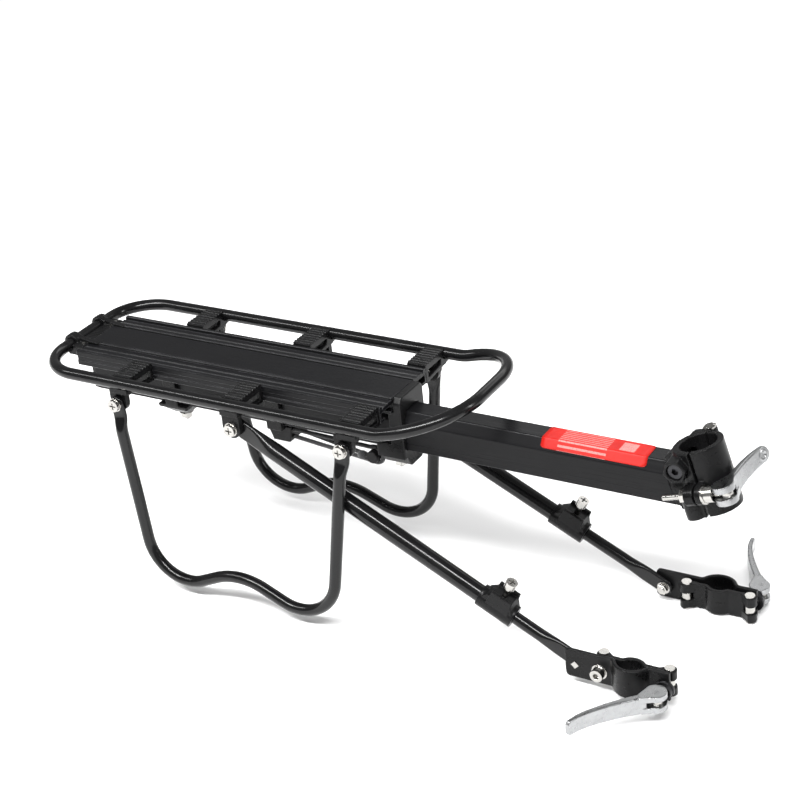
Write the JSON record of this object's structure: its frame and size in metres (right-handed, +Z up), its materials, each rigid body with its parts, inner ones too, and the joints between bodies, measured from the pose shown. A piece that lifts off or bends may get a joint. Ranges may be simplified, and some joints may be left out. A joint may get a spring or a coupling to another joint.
{
  "type": "rear rack",
  "caption": "Seatpost-mounted bicycle rear rack: sliding deck on a beam, wheel guards, telescopic struts and quick-release seatstay clamps.",
  "frame": {"origin": "centre of the seatpost clamp's bore", "axes": "+X forwards along the bicycle, +Y to the rider's left, +Z up; the deck lies level"},
  "size_m": [0.674, 0.3195, 0.2301],
  "materials": {
    "tube_black": "gloss",
    "anodised_black": "satin",
    "cast_black": "satin",
    "steel_silver": "bright zinc plate",
    "steel_dark": "black oxide",
    "lever_silver": "bright satin",
    "plastic_black": "matte",
    "label_red": "printed film",
    "cord": "woven sleeve"
  },
  "bodies": {
    "beam": {"beam": "anodised_black", "beam_end_cap": "plastic_black", "beam_label": "label_red", "seatpost_bracket": "cast_black", "bracket_bolt": "steel_dark", "seatpost_hinge_pin": "steel_silver", "seatpost_skewer": "steel_silver"},
    "seatpost_jaw": {"seatpost_jaw": "cast_black", "seatpost_washers": "steel_silver"},
    "seatpost_lever": {"seatpost_lever": "lever_silver"},
    "deck": {"deck_loop": "tube_black", "deck_plate": "anodised_black", "rear_hooks": "cast_black", "hook_screws": "steel_silver", "front_saddle": "cast_black", "rear_saddle": "cast_black", "mid_hanger": "cast_black", "saddle_bolts": "steel_silver", "luggage_cord": "cord", "bracket_rear_left": "cast_black", "bracket_rear_right": "cast_black", "bracket_mid_left": "cast_black", "bracket_mid_right": "cast_black", "bracket_front_left": "cast_black", "bracket_front_right": "cast_black", "guard_left": "tube_black", "guard_right": "tube_black", "guard_bolts": "steel_silver", "strut_pivot_bolts": "steel_silver"},
    "strut_left": {"strut_left": "tube_black", "collar_left": "cast_black", "collar_screw_left": "steel_silver"},
    "rod_left": {"rod_left": "tube_black"},
    "clamp_left": {"stay_clamp_left": "cast_black", "stay_bolt_left": "steel_silver", "hinge_bolt_left": "steel_silver", "stay_washers_left": "steel_dark"},
    "jaw_left": {"stay_jaw_left": "cast_black", "jaw_pins_left": "steel_silver", "stay_eyebolt_left": "steel_silver"},
    "lever_left": {"stay_lever_left": "lever_silver"},
    "strut_right": {"strut_right": "tube_black", "collar_right": "cast_black", "collar_screw_right": "steel_silver"},
    "rod_right": {"rod_right": "tube_black"},
    "clamp_right": {"stay_clamp_right": "cast_black", "stay_bolt_right": "steel_silver", "hinge_bolt_right": "steel_silver", "stay_washers_right": "steel_dark"},
    "jaw_right": {"stay_jaw_right": "cast_black", "jaw_pins_right": "steel_silver", "stay_eyebolt_right": "steel_silver"},
    "lever_right": {"stay_lever_right": "lever_silver"}
  },
  "joints": [
    {"name": "seatpost_jaw_open", "type": "hinge", "parent": "beam", "child": "seatpost_jaw", "pos_m": [-0.00048, 0.026, -0.00015], "axis": [-0.2924, 0, 0.9563], "range_deg": [-0.1, 1.4]},
    {"name": "seatpost_lever_turn", "type": "hinge", "parent": "beam", "child": "seatpost_lever", "pos_m": [0.02585, -0.0265, 0.00267], "axis": [0.2924, 0, -0.9563], "range_deg": [-3, 110]},
    {"name": "deck_slide", "type": "slide", "parent": "beam", "child": "deck", "axis": [1, 0, 0], "range_m": [-0.06, 0.12]},
    {"name": "strut_left_swing", "type": "hinge", "parent": "deck", "child": "strut_left", "pos_m": [-0.413, 0.0695, 0.0005], "axis": [0, 1, 0], "range_deg": [-16, 50]},
    {"name": "rod_left_slide", "type": "slide", "parent": "strut_left", "child": "rod_left", "axis": [0.8957, 0, -0.4446], "range_m": [-0.045, 0.11]},
    {"name": "clamp_left_swing", "type": "hinge", "parent": "rod_left", "child": "clamp_left", "pos_m": [-0.07173, 0.0695, -0.16891], "axis": [0, 1, 0], "range_deg": [-45, 45]},
    {"name": "jaw_left_open", "type": "hinge", "parent": "clamp_left", "child": "jaw_left", "pos_m": [-0.04923, 0.0656, -0.16891], "axis": [0, 0, -1], "range_deg": [-1.3, 2.45]},
    {"name": "lever_left_turn", "type": "hinge", "parent": "jaw_left", "child": "lever_left", "pos_m": [0.00927, 0.093, -0.16941], "axis": [0, 0, -1], "range_deg": [-58, 110]},
    {"name": "strut_right_swing", "type": "hinge", "parent": "deck", "child": "strut_right", "pos_m": [-0.413, -0.0695, 0.0005], "axis": [0, 1, 0], "range_deg": [-16, 50]},
    {"name": "rod_right_slide", "type": "slide", "parent": "strut_right", "child": "rod_right", "axis": [0.8926, 0, -0.4509], "range_m": [-0.025, 0.13]},
    {"name": "clamp_right_swing", "type": "hinge", "parent": "rod_right", "child": "clamp_right", "pos_m": [-0.09078, -0.0695, -0.16227], "axis": [0, 1, 0], "range_deg": [-45, 45]},
    {"name": "jaw_right_open", "type": "hinge", "parent": "clamp_right", "child": "jaw_right", "pos_m": [-0.06828, -0.0656, -0.16227], "axis": [0, 0, 1], "range_deg": [-1.3, 2.45]},
    {"name": "lever_right_turn", "type": "hinge", "parent": "jaw_right", "child": "lever_right", "pos_m": [-0.00978, -0.093, -0.16277], "axis": [0, 0, 1], "range_deg": [-45, 110]}
  ],
  "couplings": [
    {"joint": "seatpost_jaw_open", "follows": "seatpost_lever_turn", "ratio": 0.012},
    {"joint": "jaw_left_open", "follows": "lever_left_turn", "ratio": 0.0218},
    {"joint": "jaw_right_open", "follows": "lever_right_turn", "ratio": 0.0218}
  ]
}
